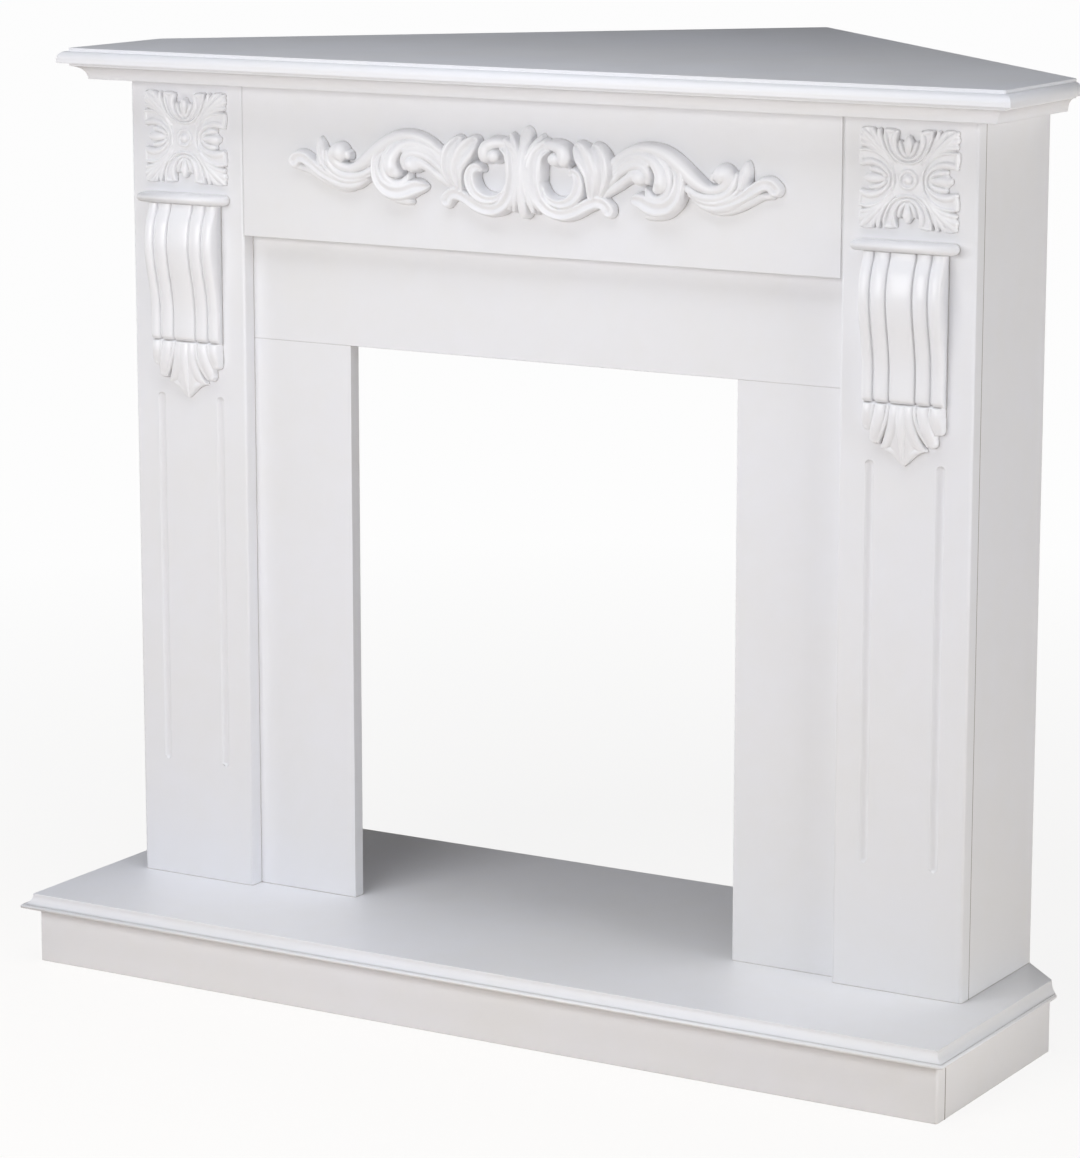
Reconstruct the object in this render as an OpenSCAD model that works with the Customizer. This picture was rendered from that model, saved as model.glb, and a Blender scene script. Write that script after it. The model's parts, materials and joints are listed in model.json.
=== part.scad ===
// Corner fireplace surround in white satin paint: a mantel of flat boards that stands in a
// room corner, with an open firebox, a raised hearth and moulded ornaments on its front.
// Millimetres. Inside each module x = 0 is the middle, y = 0 the fronts of the pilasters,
// +y runs to the corner where the two walls meet and z = 0 is the floor.

/* [Body] */
// Distance from the pilaster fronts to the line where the two walls meet
corner_depth = 674; // [640:1:760]
// Width over the two side panels
body_w = 1010; // [980:2:1060]
// Height of the body between the hearth slab and the cornice board
body_h = 888; // [860:1:960]
// Thickness of the front boards: pilasters, frieze and plinth front
face_t = 18; // [16:0.5:22]
// Thickness of the other body boards
board_t = 16; // [14:0.5:19]

/* [Plinth] */
// Height of the plinth
plinth_h = 62; // [50:1:90]
// How far the plinth stands in front of the pilasters
plinth_front = 142; // [120:1:180]
// How far the plinth reaches past the body on each side
plinth_side = 42; // [30:1:60]
// Side of the square glue blocks in the front corners
block_w = 36; // [25:1:50]

/* [Hearth slab] */
// Thickness of the slab
slab_t = 16; // [16:0.5:22]
// Overhang of the slab's lip past the plinth sides
slab_side_over = 13; // [8:0.5:20]
// Overhang of the slab's lip past the plinth front
slab_front_over = 18; // [10:0.5:24]
// Distance from the wall corner to the slab's rear edge
slab_cut = 404; // [380:1:440]
// Radius of the cove on the slab's edge
slab_cove_r = 10; // [6:0.5:11]
// Height of the rounded lip below that cove
slab_lip = 4.5; // [3:0.25:5]

/* [Pilasters] */
// Width of a pilaster
pilaster_w = 146; // [130:1:160]
// Radius along the pilaster's front edges
pilaster_edge_r = 3; // [1:0.5:5]
// Radius of the ball cutter that makes the flutes
flute_r = 5.3; // [4:0.1:7]
// Depth of a flute
flute_depth = 2.5; // [1:0.1:3.5]
// Distance between the two flutes of a pilaster
flute_apart = 78; // [50:1:90]
// Height of the flutes' lower ends above the hearth slab
flute_low = 131; // [80:1:200]
// Length of a flute
flute_len = 416; // [300:1:440]

/* [Opening] */
// Clear width of the firebox opening
opening_w = 469; // [400:1:520]
// Clear height of the firebox opening
opening_h = 612; // [560:1:640]
// How far stiles and header reach behind each pilaster
stile_lap = 40; // [30:1:60]

/* [Frieze] */
// Height of the frieze board
frieze_h = 163; // [150:1:200]
// Joint line between the frieze and each pilaster
frieze_gap = 1; // [0.5:0.25:2]

/* [Shelf] */
// Thickness of the cornice board under the shelf
cornice_t = 18; // [16:0.5:24]
// Reach of the cornice board's underside past the body on each side
cornice_side = 33.5; // [25:0.5:45]
// Reach of the cornice board's underside in front of the pilasters
cornice_front = 32.5; // [25:0.5:45]
// Radius of the cove under the cornice lip
cornice_cove_r = 14.5; // [10:0.5:15]
// Thickness of the shelf
shelf_t = 16; // [16:0.5:22]
// Overhang of the shelf's lip past the cornice lip
shelf_over = 10; // [6:0.5:16]
// Radius of the quarter round on the shelf's edge
shelf_round_r = 8.5; // [6:0.5:10]
// Height of the shelf's lip below the quarter round
shelf_lip = 4; // [3:0.5:5]
// Width of the small step above the quarter round
shelf_step = 1.5; // [1:0.5:3]

/* [Rosettes] */
// Width of a rosette
rosette_w = 109; // [100:1:120]
// Height of a rosette
rosette_h = 100; // [90:1:110]
// Height of a rosette's boss above the pilaster
rosette_relief = 8; // [5:0.5:12]
// Distance from the top of the pilaster to the rosette's middle
rosette_drop = 61; // [56:1:64]

/* [Corbels] */
// Width of the narrow outer ribs
rib_outer_w = 14; // [12:0.5:16]
// Width of the ribs next to them
rib_inner_w = 17; // [15:0.5:19]
// Width of the broad middle rib
rib_middle_w = 28; // [24:0.5:30]
// Height of the ribbed body
corbel_h = 150; // [130:1:170]
// How far the ribs stand out at the belly
corbel_belly = 23.5; // [19:0.5:28]
// How far the ribs stand out at the foot
corbel_foot = 12.5; // [11:0.5:16]
// Depth of the grooves between the ribs
rib_groove = 4; // [2:0.5:6]
// Height of the leaf that hangs below the ribs
leaf_h = 63; // [55:1:70]
// Distance from the top of the pilaster to the top of the corbel's cap
cap_drop = 121; // [118:1:126]
// Width of the cap
cap_w = 111; // [104:1:118]
// Thickness of the cap
cap_t = 11; // [8:0.5:14]
// How far the cap stands out from the pilaster
cap_out = 17; // [14:0.5:22]

/* [Frieze carving] */
// Width of the carving
carving_w = 590; // [540:2:620]
// Height of the carving
carving_h = 94; // [80:1:104]
// How far the carving's middle stands out from the frieze
carving_relief = 21; // [14:0.5:26]
// Height of the carving's middle above the middle of the frieze
carving_rise = 4.5; // [0:0.5:8]

/* [Joinery] */
// Radius of the glued dowels
dowel_r = 4; // [3:0.5:5]
// Length of a dowel
dowel_len = 30; // [26:1:32]
// Depth of a dowel bore in the face of a slab
dowel_face_depth = 12; // [8:0.5:13]
// Side of the square corner battens
batten_w = 20; // [16:1:26]
// Radius of a screw's shank
screw_r = 2; // [1.5:0.25:2.5]
// Radius of a screw's head
screw_head_r = 4; // [3.5:0.25:5]
// Length of a screw
screw_len = 29; // [24:1:30]
// Clearance around dowels and screws
fit_gap = 0.1; // [0.05:0.05:0.2]

/* [Hidden] */
$fn = 48;

PAINT = "ivory";
ORNAMENT = "white";
RAW = "burlywood";
STEEL = "silver";

LEFT = -1;
RIGHT = 1;
FAR = 3000;

// Levels
slab_z = plinth_h;
floor_z = slab_z + slab_t;
top_z = floor_z + body_h;
shelf_z = top_z + cornice_t;
frieze_z = top_z - frieze_h;
header_z = floor_z + opening_h;

// Half widths and front reaches
body_half = body_w / 2;
plinth_half = body_half + plinth_side;
slab_half = plinth_half + slab_side_over;
slab_front = plinth_front + slab_front_over;
cornice_half = body_half + cornice_side + cornice_cove_r;
cornice_reach = cornice_front + cornice_cove_r;
shelf_half = cornice_half + shelf_over;
shelf_front = cornice_reach + shelf_over;
pilaster_x = body_half - pilaster_w / 2;
pilaster_in = body_half - pilaster_w;
frieze_half = pilaster_in - frieze_gap;
header_half = pilaster_in + stile_lap;
opening_half = opening_w / 2;
stile_w = header_half - opening_half;
stile_y = face_t;
back_y = face_t + board_t;
rail_mitre = board_t * tan(22.5);
slab_back = corner_depth - slab_cut;
slab_back_half = slab_cut;

// The part's own origin: on the floor, under the middle of its outline
middle_y = (corner_depth - slab_front) / 2;

// Ornament levels
rosette_z = top_z - rosette_drop;
cap_z = top_z - cap_drop - cap_t;
corbel_z = cap_z - corbel_h;
carving_z = top_z - frieze_h / 2 + carving_rise;
corbel_w = rib_middle_w + 2 * rib_inner_w + 2 * rib_outer_w;

// Depth coordinate of the wall line at a given x
function wall_y(x) = corner_depth - abs(x);

// How far the plan of a moulded board reaches past its lip before it is cut to shape
plan_margin = 20;

// Dowel places in plan: uprights to slab and cornice, and plinth to slab
dowel_inset = 28;
plinth_dowel_inset = 60;
side_dowels_y = [face_t + dowel_inset, wall_y(body_half) - dowel_inset];
pilaster_dowels = [for (s = [LEFT, RIGHT], d = [-1, 1])
    [s * pilaster_x + d * (pilaster_w / 2 - dowel_inset), face_t / 2]];
side_dowels = [for (s = [LEFT, RIGHT], y = side_dowels_y) [s * (body_half - board_t / 2), y]];
stile_dowels = [for (s = [LEFT, RIGHT], d = [dowel_inset, stile_w - dowel_inset])
    [s * (opening_half + d), stile_y + board_t / 2]];
header_dowels = [for (x = [-header_half + dowel_inset, 0, header_half - dowel_inset])
    [x, stile_y + board_t / 2]];
plinth_dowels = concat(
    [for (x = [plinth_dowel_inset - plinth_half, -plinth_half / 3, plinth_half / 3,
            plinth_half - plinth_dowel_inset])
        [x, -plinth_front + face_t / 2]],
    [for (s = [LEFT, RIGHT]) [s * (plinth_half - board_t / 2), 0]],
    [for (x = [-1, 1]) [x * slab_half / 3, slab_back - board_t / 2]]);

// Screws: plan or elevation places of each row
screw_lap_x = pilaster_in + stile_lap / 2;
header_screw_inset = 40;
frieze_screw_inset = 25;
shelf_screw_inset = 80;
stile_screws_z = [for (f = [0.15, 0.5, 0.85]) floor_z + f * opening_h];
header_screws_z = [header_z + header_screw_inset, top_z - header_screw_inset];
frieze_screws = [for (f = [-0.85, -0.33, 0.33, 0.85],
    z = [frieze_z + frieze_screw_inset, top_z - frieze_screw_inset]) [f * frieze_half, z]];
shelf_screws = concat(
    [for (f = [-1, 0, 1]) [f * (body_half - shelf_screw_inset), shelf_screw_inset]],
    [for (f = [-0.25, 0.25]) [f * corner_depth, corner_depth / 2]],
    [[0, corner_depth - 2 * shelf_screw_inset]]);

// ---------- helpers ----------

module placed() {
    translate([0, -middle_y, 0]) children();
}

// A box from x0 to x1, y0 to y1 and z0 to z1
module block(x0, x1, y0, y1, z0, z1) {
    translate([x0, y0, z0]) cube([x1 - x0, y1 - y0, z1 - z0]);
}

// The same shape on the side given by LEFT or RIGHT
module on_side(side) {
    if (side == LEFT) mirror([1, 0, 0]) children();
    else children();
}

// Keeps what lies in front of the two wall lines
module wall_plan(half, front) {
    polygon([[-half, -front], [half, -front], [half, wall_y(half)], [0, corner_depth],
        [-half, wall_y(half)]]);
}

// A board with one moulded edge on its front and both sides. Child 0 is the plan, which is
// larger than the board there; child 1 is the edge, with its lip at u = 0 and wood at u < 0.
module moulded_board(half, front, thick) {
    intersection() {
        linear_extrude(thick) children(0);
        translate([0, -front, 0]) rotate([90, 0, -90])
            linear_extrude(FAR, center = true) children(1);
        translate([half, 0, 0]) rotate([90, 0, 0])
            linear_extrude(FAR, center = true) children(1);
        mirror([1, 0, 0]) translate([half, 0, 0]) rotate([90, 0, 0])
            linear_extrude(FAR, center = true) children(1);
    }
}

module dowel(gap = 0) {
    cylinder(r = dowel_r + gap, h = dowel_len + 2 * gap);
}

// Dowels that stand in the joint at height z and enter the board below or above by its depth
module dowels_at(points, z, below, gap = 0) {
    for (p = points) translate([p[0], p[1], z - below - gap]) dowel(gap);
}

// A countersunk screw along +z with its head's flat face at z = 0
module screw(gap = 0) {
    cylinder(r = screw_r + gap, h = screw_len + gap);
    cylinder(r1 = screw_head_r + gap, r2 = screw_r + gap, h = screw_head_r - screw_r);
}

// Screws from behind the header and stiles, pointing to the front
module front_screws(gap = 0) {
    for (s = [LEFT, RIGHT], z = concat(stile_screws_z, header_screws_z))
        translate([s * screw_lap_x, back_y, z]) rotate([90, 0, 0]) screw(gap);
    for (p = frieze_screws)
        translate([p[0], back_y, p[1]]) rotate([90, 0, 0]) screw(gap);
}

// Screws up through the cornice board into the shelf
module upward_screws(gap = 0) {
    for (p = shelf_screws) translate([p[0], p[1], top_z]) screw(gap);
}

// ---------- plinth ----------

module plinth_front() {
    color(PAINT) placed() difference() {
        translate([0, -plinth_front, 0]) linear_extrude(plinth_h) rounded_front(plinth_half, face_t);
        dowels_at(plinth_dowels, slab_z, dowel_len - dowel_face_depth, fit_gap);
    }
}

// A board's plan with its two front corners rounded, front edge at y = 0
module rounded_front(half, thick) {
    for (s = [-1, 1]) translate([s * (half - pilaster_edge_r), pilaster_edge_r])
        circle(pilaster_edge_r);
    translate([-half, pilaster_edge_r]) square([2 * half, thick - pilaster_edge_r]);
    translate([-half + pilaster_edge_r, 0]) square([2 * (half - pilaster_edge_r), thick]);
}

module plinth_side(side) {
    end_y = wall_y(plinth_half);
    color(PAINT) placed() difference() {
        on_side(side) linear_extrude(plinth_h) polygon([
            [plinth_half, -plinth_front + face_t], [plinth_half, end_y],
            [plinth_half - board_t, end_y - rail_mitre], [plinth_half - board_t, -plinth_front + face_t]]);
        dowels_at(plinth_dowels, slab_z, dowel_len - dowel_face_depth, fit_gap);
    }
}

module plinth_wall_rail(side) {
    side_y = wall_y(plinth_half);
    color(PAINT) placed() on_side(side) linear_extrude(plinth_h) polygon([
        [plinth_half, side_y], [slab_back_half, slab_back],
        [slab_back_half - rail_mitre, slab_back - board_t], [plinth_half - board_t, side_y - rail_mitre]]);
}

module plinth_back_rail() {
    color(PAINT) placed() difference() {
        linear_extrude(plinth_h) polygon([
            [-slab_back_half, slab_back], [slab_back_half, slab_back],
            [slab_back_half - rail_mitre, slab_back - board_t],
            [rail_mitre - slab_back_half, slab_back - board_t]]);
        dowels_at(plinth_dowels, slab_z, dowel_len - dowel_face_depth, fit_gap);
    }
}

module plinth_mid_rail() {
    color(RAW) placed()
        block(-board_t / 2, board_t / 2, -plinth_front + face_t, slab_back - board_t, 0, plinth_h);
}

module plinth_glue_blocks() {
    inner_x = plinth_half - board_t;
    inner_y = -plinth_front + face_t;
    color(RAW) placed() for (s = [LEFT, RIGHT]) on_side(s)
        block(inner_x - block_w, inner_x, inner_y, inner_y + block_w, 0, plinth_h);
}

// ---------- hearth ----------

// Slab edge: flat top, a broad cove below it and a round lip at the bottom
module slab_edge() {
    round_r = slab_lip / 2;
    difference() {
        translate([-FAR, 0]) square([FAR - round_r, slab_t]);
        translate([0, slab_lip + slab_cove_r]) circle(slab_cove_r);
        translate([-slab_cove_r, slab_lip + slab_cove_r]) square([slab_cove_r, slab_t]);
    }
    translate([-round_r, round_r]) circle(round_r);
}

module hearth_slab() {
    plan_half = slab_half + plan_margin;
    plan_front = slab_front + plan_margin;
    color(PAINT) placed() translate([0, 0, slab_z]) difference() {
        moulded_board(slab_half, slab_front, slab_t) {
            polygon([[-plan_half, -plan_front], [plan_half, -plan_front],
                [plan_half, wall_y(plan_half)], [slab_back_half, slab_back], [-slab_back_half, slab_back],
                [-plan_half, wall_y(plan_half)]]);
            slab_edge();
        }
        dowels_at(concat(pilaster_dowels, side_dowels, stile_dowels), slab_t,
            dowel_face_depth, fit_gap);
        dowels_at(plinth_dowels, 0, dowel_len - dowel_face_depth, fit_gap);
    }
}

// ---------- body ----------

module flute() {
    translate([0, flute_depth - flute_r, floor_z + flute_low + flute_r]) {
        cylinder(r = flute_r, h = flute_len - 2 * flute_r);
        sphere(flute_r);
        translate([0, 0, flute_len - 2 * flute_r]) sphere(flute_r);
    }
}

module pilaster(side) {
    color(PAINT) placed() difference() {
        translate([side * pilaster_x, 0, floor_z]) linear_extrude(body_h)
            rounded_front(pilaster_w / 2, face_t);
        for (d = [-1, 1]) translate([side * pilaster_x + d * flute_apart / 2, 0, 0]) flute();
        dowels_at(pilaster_dowels, floor_z, dowel_face_depth, fit_gap);
        dowels_at(pilaster_dowels, top_z, dowel_len - dowel_face_depth, fit_gap);
        front_screws(fit_gap);
    }
}

module side_panel(side) {
    color(PAINT) placed() difference() {
        on_side(side) translate([0, 0, floor_z]) linear_extrude(body_h) polygon([
            [body_half, face_t], [body_half, wall_y(body_half)],
            [body_half - board_t, wall_y(body_half - board_t)], [body_half - board_t, face_t]]);
        dowels_at(side_dowels, floor_z, dowel_face_depth, fit_gap);
        dowels_at(side_dowels, top_z, dowel_len - dowel_face_depth, fit_gap);
    }
}

module corner_batten(side) {
    inner_x = body_half - board_t;
    color(RAW) placed() on_side(side)
        block(inner_x - batten_w, inner_x, face_t, face_t + batten_w, floor_z, top_z);
}

module stile(side) {
    color(PAINT) placed() difference() {
        on_side(side) block(opening_half, header_half, stile_y, back_y, floor_z, header_z);
        dowels_at(stile_dowels, floor_z, dowel_face_depth, fit_gap);
        dowels_at(stile_dowels, header_z, dowel_len / 2, fit_gap);
        front_screws(fit_gap);
    }
}

module header() {
    color(PAINT) placed() difference() {
        block(-header_half, header_half, stile_y, back_y, header_z, top_z);
        dowels_at(stile_dowels, header_z, dowel_len / 2, fit_gap);
        dowels_at(header_dowels, top_z, dowel_len - dowel_face_depth, fit_gap);
        front_screws(fit_gap);
    }
}

module frieze() {
    color(PAINT) placed() difference() {
        block(-frieze_half, frieze_half, 0, face_t, frieze_z, top_z);
        front_screws(fit_gap);
    }
}

// ---------- cornice and shelf ----------

module cornice_edge() {
    difference() {
        translate([-FAR, 0]) square([FAR, cornice_t]);
        circle(cornice_cove_r);
    }
}

module cornice_board() {
    color(PAINT) placed() difference() {
        translate([0, 0, top_z]) moulded_board(cornice_half, cornice_reach, cornice_t) {
            wall_plan(cornice_half + plan_margin, cornice_reach + plan_margin);
            cornice_edge();
        }
        dowels_at(concat(pilaster_dowels, side_dowels, header_dowels), top_z,
            dowel_len - dowel_face_depth, fit_gap);
        upward_screws(fit_gap);
    }
}

// Shelf edge: a lip, a quarter round above it and a small step up to the top face
module shelf_edge() {
    translate([-FAR, 0]) square([FAR, shelf_lip]);
    intersection() {
        translate([-shelf_round_r, shelf_lip]) circle(shelf_round_r);
        translate([-shelf_round_r, 0]) square([shelf_round_r, shelf_t]);
    }
    translate([-FAR, 0]) square([FAR - shelf_round_r, shelf_lip + shelf_round_r]);
    translate([-FAR, 0]) square([FAR - shelf_round_r - shelf_step, shelf_t]);
}

module shelf() {
    color(PAINT) placed() difference() {
        translate([0, 0, shelf_z]) moulded_board(shelf_half, shelf_front, shelf_t) {
            wall_plan(shelf_half + plan_margin, shelf_front + plan_margin);
            shelf_edge();
        }
        upward_screws(fit_gap);
    }
}

// ---------- ornaments ----------

// One station of a stroke: a low eight-sided mound on the board
module bead(s) {
    translate([s[0], 0, s[1]]) rotate([90, 0, 0])
        cylinder(r1 = s[2], r2 = 0.5 * s[2], h = s[3], $fn = 8);
}

// A carved ridge through its stations [x, z, half width, height], in the ornament's own size
module stroke(stations, size) {
    width = sqrt(size[0] * size[1]);
    path = [for (s = stations) [s[0] * size[0], s[1] * size[1], s[2] * width, s[3] * size[2]]];
    for (i = [0 : len(path) - 2]) hull() {
        bead(path[i]);
        bead(path[i + 1]);
    }
}

module both_halves() {
    children();
    mirror([1, 0, 0]) children();
}

// Right half of the carving, from its middle, for a width of 590, a height of 94 and a relief of 21
carving_strokes = [
    // the ring with its volute, and the tail that runs out of it
    [[42, 15, 10, 19], [50, 23, 6, 15], [42, 32, 6, 12], [28, 31, 7, 12], [17, 20, 8, 15],
        [13, 2, 8, 17], [17, -16, 8, 16], [30, -31, 8, 14], [48, -37, 8, 12], [68, -32, 7, 11],
        [84, -26, 6, 9], [95, -29, 6, 8], [98, -34, 7, 8]],
    // crescent inside the ring
    [[56, 3, 4, 12], [66, -4, 6, 13], [65, -16, 7, 13], [52, -25, 7, 13], [38, -26, 6, 12]],
    // pair of leaves beside the ring
    [[72, -20, 6, 12], [71, 2, 8, 14], [66, 20, 7, 12], [58, 31, 5, 9]],
    [[84, -18, 6, 11], [88, 2, 8, 13], [86, 20, 8, 12], [76, 32, 5, 9]],
    // long wave from the leaves to the end of the carving
    [[97, -16, 4, 9], [98, 4, 7, 10], [112, 17, 7, 10], [132, 26, 7, 9], [152, 28, 7, 9],
        [172, 22, 7, 9], [190, 8, 7, 9], [208, -8, 8, 9], [228, -16, 8, 9], [248, -15, 7, 9],
        [264, -7, 6, 9], [276, 0, 6, 9], [286, -2, 7, 9]],
    // inner wave with the small eye
    [[100, -12, 4, 8], [112, 4, 6, 9], [128, 12, 6, 10], [142, 10, 6, 10], [149, 0, 5, 10],
        [142, -4, 8, 13]],
    // lobe beside the eye
    [[150, 15, 6, 10], [163, 6, 7, 12], [162, -6, 8, 12], [154, -8, 5, 9]],
    // outer lobe that wraps round to a leaf tip
    [[166, 18, 5, 9], [178, 4, 6, 10], [180, -14, 7, 11], [170, -30, 8, 12], [152, -34, 9, 12],
        [136, -30, 7, 10], [122, -22, 3, 6]],
    [[140, -16, 4, 8], [154, -19, 6, 10], [168, -12, 5, 9]],
    // last volute and the leaf behind it
    [[206, -2, 4, 8], [216, -12, 6, 9], [234, -10, 6, 10], [240, 2, 6, 10], [232, 12, 7, 11],
        [224, 6, 10, 15]],
    [[246, -12, 5, 9], [252, 4, 6, 9], [254, 19, 3, 6]]
];
// Palmette in the middle of the carving: right half, its first stroke lying on the axis
palmette_strokes = [
    [[0, 46, 5, 6], [0, 30, 8, 14], [0, 5, 6, 21], [0, -20, 7, 21], [0, -42, 6, 18]],
    [[10, 38, 5, 6], [8, 24, 6, 13], [3, 4, 5, 20]],
    [[19, 35, 4, 7], [13, 24, 5, 11], [6, 6, 4, 17]],
    [[4, -8, 4, 18], [9, -26, 5, 17], [14, -38, 4, 13]]
];

module frieze_carving() {
    size = [carving_w / 590, carving_h / 94, carving_relief / 21];
    color(ORNAMENT) placed() translate([0, 0, carving_z]) both_halves()
        for (s = concat(carving_strokes, palmette_strokes)) stroke(s, size);
}

// Rosette for a width of 109, a height of 100 and a relief of 8: its boss as [half width, height]
// beads, then a quarter of the strokes: outer leaf, inner lobe and bud at the side and at the top
rosette_boss = [[20, 4], [12, 5], [6, 8]];
side_strokes = [
    [[20, 2, 3, 5], [25, 14, 4, 6], [36, 22, 7, 7], [47, 21, 7, 5]],
    [[26, 3, 3, 5], [31, 9, 4, 6], [38, 10, 4, 5]],
    [[27, 0, 3, 5], [36, 0, 6, 8], [42, 0, 5, 6]]
];
top_strokes = [
    [[2, 19, 3, 5], [14, 24, 4, 6], [19, 35, 6, 7], [18, 44, 6, 5]],
    [[3, 24, 3, 5], [8, 28, 4, 6], [9, 35, 4, 5]],
    [[0, 25, 3, 5], [0, 33, 6, 8], [0, 38, 5, 6]]
];
corner_strokes = [
    [[13, 12, 5, 5], [30, 29, 6, 6], [44, 41, 8, 6], [52.5, 48, 2, 4]],
    [[20, 19, 3, 5], [31, 27, 4, 6], [50, 31, 4.5, 4]],
    [[17, 20, 3, 5], [28, 36, 4, 6], [33, 45, 5, 4]]
];

module rosette(side) {
    size = [rosette_w / 109, rosette_h / 100, rosette_relief / 8];
    color(ORNAMENT) placed() translate([side * pilaster_x, 0, rosette_z]) {
        for (b = rosette_boss) bead([0, 0, b[0] * size[0], b[1] * size[2]]);
        both_halves() for (up = [0, 1]) mirror([0, 0, up])
            for (s = concat(side_strokes, top_strokes, corner_strokes)) stroke(s, size);
    }
}

// A smooth run through stations, with one more point between each two
function between(a, b, c, d) = (9 * (b + c) - a - d) / 16;
function smooth(p) = concat([for (i = [0 : len(p) - 2]) each
    [p[i], between(p[max(i - 1, 0)], p[i], p[i + 1], p[min(i + 2, len(p) - 1)])]], [p[len(p) - 1]]);

// How far the ribs stand out, as stations [height above their foot, depth], from the rounded foot
foot_round = 3;
rib_stations = [[foot_round, corbel_foot], [0.25 * corbel_h, corbel_foot],
    [0.4 * corbel_h, 0.7 * corbel_foot + 0.3 * corbel_belly],
    [0.55 * corbel_h, 0.3 * corbel_foot + 0.7 * corbel_belly], [0.72 * corbel_h, corbel_belly],
    [0.87 * corbel_h, 0.25 * corbel_foot + 0.75 * corbel_belly],
    [corbel_h, 0.9 * corbel_foot + 0.1 * corbel_belly]];

// Half outline of the ribs at one height: from the middle of rib number k outwards
function rib_x(k) = k == 0 ? 0 : k == 1 ? (rib_middle_w + rib_inner_w) / 2
    : rib_middle_w / 2 + rib_inner_w + rib_outer_w / 2;
function rib_w(k) = [rib_middle_w, rib_inner_w, rib_outer_w][k];
function rib_profile(k) = let (across = k == 0 ? [0.15, 0.36] : [-0.36, -0.15, 0.15, 0.36])
    concat([for (a = across) [rib_x(k) + a * rib_w(k), abs(a) < 0.3 ? 0 : 0.3 * rib_groove]],
        [[rib_x(k) + 0.5 * rib_w(k), rib_groove]]);
half_ribs = [for (k = [0 : 2]) each rib_profile(k)];
all_ribs = concat([for (i = [len(half_ribs) - 1 : -1 : 0]) [-half_ribs[i][0], half_ribs[i][1]]],
    half_ribs);

// The whole outline at height z, for ribs that stand out by a depth, or a flat bar of that depth
function ribs_outline(z, depth, ribbed = 1) = concat([[-corbel_w / 2, 0, z], [corbel_w / 2, 0, z]],
    [for (i = [len(all_ribs) - 1 : -1 : 0]) [all_ribs[i][0], ribbed * all_ribs[i][1] - depth, z]]);

// A closed skin over a list of outlines that have the same number of points
module skin(rings) {
    n = len(rings[0]);
    last = len(rings) - 1;
    polyhedron(points = [for (r = rings, p = r) p],
        faces = concat([[for (i = [n - 1 : -1 : 0]) i], [for (i = [0 : n - 1]) last * n + i]],
            [for (k = [0 : last - 1], i = [0 : n - 1]) let (j = (i + 1) % n)
                each [[k * n + i, (k + 1) * n + j, (k + 1) * n + i],
                    [k * n + i, k * n + j, (k + 1) * n + j]]]));
}

// Leaf strokes from its top, for a height of 63: the middle leaf, then the right half's wing,
// side lobe and outer lobe
leaf_middle = [[0, -5, 10, 12], [0, -22, 11, 14], [0, -38, 12, 12], [0, -50, 7, 8], [0, -61, 2, 5]];
leaf_sides = [
    [[9, -28, 8, 12], [14, -37, 7, 10], [22, -45, 2, 5]],
    [[21, -5, 8, 12], [24, -18, 8, 13], [28, -30, 6, 10], [30, -38, 3, 6]],
    [[37, -5, 8, 11], [38, -15, 7, 12], [37, -25, 5, 8]]
];

module corbel(side) {
    size = [corbel_w / 90, leaf_h / 63, corbel_foot / 12.5];
    backing = [for (z = [-leaf_h / 6, -1]) ribs_outline(z, corbel_foot / 2, 0)];
    foot = [ribs_outline(0, corbel_foot - foot_round)];
    color(ORNAMENT) placed() translate([side * pilaster_x, 0, corbel_z]) {
        skin(concat(backing, foot, [for (s = smooth(rib_stations)) ribs_outline(s[0], s[1])]));
        stroke(leaf_middle, size);
        both_halves() for (s = leaf_sides) stroke(s, size);
    }
}

// Cap profile: a flat bar with a half-round front, from u = 0 back to the board
module cap_edge() {
    translate([-cap_t / 2, cap_t / 2]) circle(cap_t / 2);
    translate([-FAR, 0]) square([FAR - cap_t / 2, cap_t]);
}

module corbel_cap(side) {
    color(ORNAMENT) placed() translate([side * pilaster_x, 0, cap_z]) intersection() {
        translate([-cap_w, -cap_out - cap_t, 0]) cube([2 * cap_w, cap_out + cap_t, cap_t]);
        translate([0, -cap_out, 0]) rotate([90, 0, -90])
            linear_extrude(FAR, center = true) cap_edge();
        translate([cap_w / 2, 0, 0]) rotate([90, 0, 0])
            linear_extrude(FAR, center = true) cap_edge();
        mirror([1, 0, 0]) translate([cap_w / 2, 0, 0]) rotate([90, 0, 0])
            linear_extrude(FAR, center = true) cap_edge();
    }
}

// ---------- fasteners ----------

module dowels() {
    color(RAW) placed() {
        dowels_at(concat(pilaster_dowels, side_dowels, stile_dowels), floor_z, dowel_face_depth);
        dowels_at(concat(pilaster_dowels, side_dowels, header_dowels), top_z,
            dowel_len - dowel_face_depth);
        dowels_at(stile_dowels, header_z, dowel_len / 2);
        dowels_at(plinth_dowels, slab_z, dowel_len - dowel_face_depth);
    }
}

module screws() {
    color(STEEL) placed() {
        front_screws();
        upward_screws();
    }
}

plinth_front();
plinth_side(LEFT);  // plinth_side_left
plinth_side(RIGHT);  // plinth_side_right
plinth_wall_rail(LEFT);  // plinth_wall_rail_left
plinth_wall_rail(RIGHT);  // plinth_wall_rail_right
plinth_back_rail();
plinth_mid_rail();
plinth_glue_blocks();
hearth_slab();
pilaster(LEFT);  // pilaster_left
pilaster(RIGHT);  // pilaster_right
side_panel(LEFT);  // side_panel_left
side_panel(RIGHT);  // side_panel_right
corner_batten(LEFT);  // corner_batten_left
corner_batten(RIGHT);  // corner_batten_right
stile(LEFT);  // stile_left
stile(RIGHT);  // stile_right
header();
frieze();
cornice_board();
shelf();
rosette(LEFT);  // rosette_left
rosette(RIGHT);  // rosette_right
corbel(LEFT);  // corbel_left
corbel(RIGHT);  // corbel_right
corbel_cap(LEFT);  // corbel_cap_left
corbel_cap(RIGHT);  // corbel_cap_right
frieze_carving();
dowels();
screws();
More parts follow.
